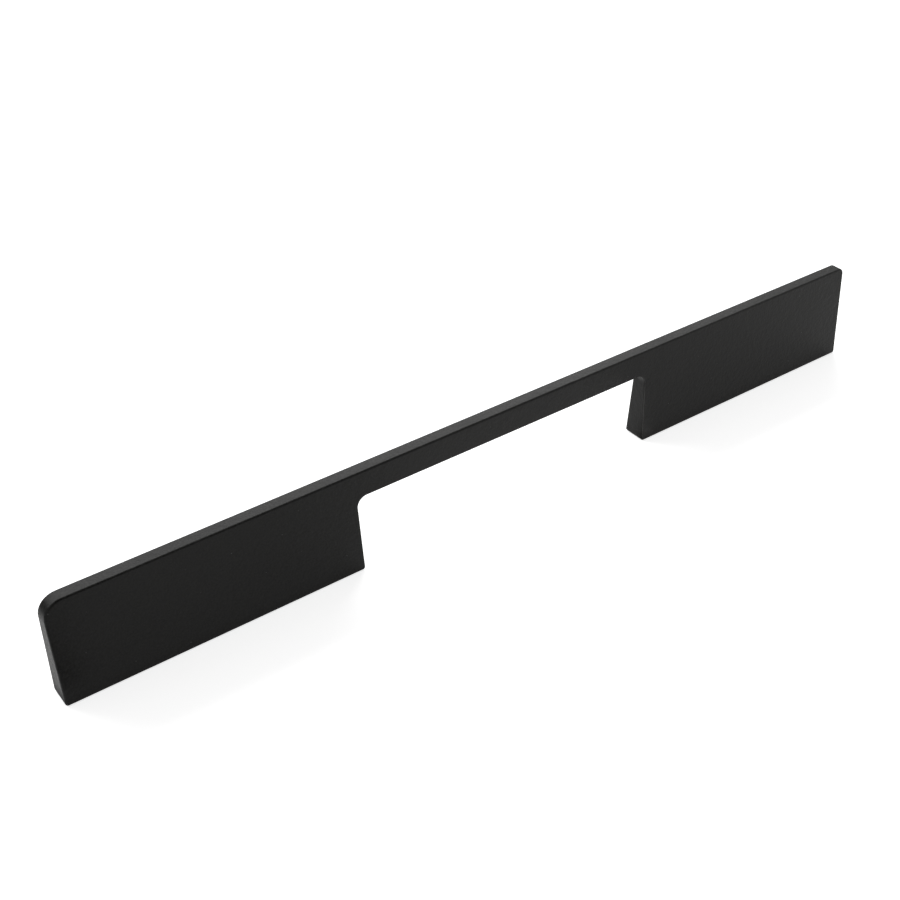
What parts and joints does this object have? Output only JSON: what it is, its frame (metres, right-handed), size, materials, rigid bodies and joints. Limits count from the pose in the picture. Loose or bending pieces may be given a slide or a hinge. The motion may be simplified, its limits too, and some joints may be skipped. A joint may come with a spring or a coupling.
{
  "type": "cabinet handle",
  "caption": "Matte black cabinet pull: long wedge-section legs joined by a thin grip bar over a finger gap, with tapped holes in the feet for screws from behind the door or drawer front.",
  "frame": {"origin": "middle of the footprint, on the mounting plane that the feet stand on", "axes": "+X along the handle, with the well rounded top corner at -X; +Z from the mounting plane to the grip; the long faces look along -Y and +Y"},
  "size_m": [0.28, 0.0078, 0.0318],
  "materials": {
    "black_coat": "matte black powder coat with a fine grain, over a zinc die casting"
  },
  "bodies": {
    "root": {"handle": "black_coat"}
  },
  "joints": []
}
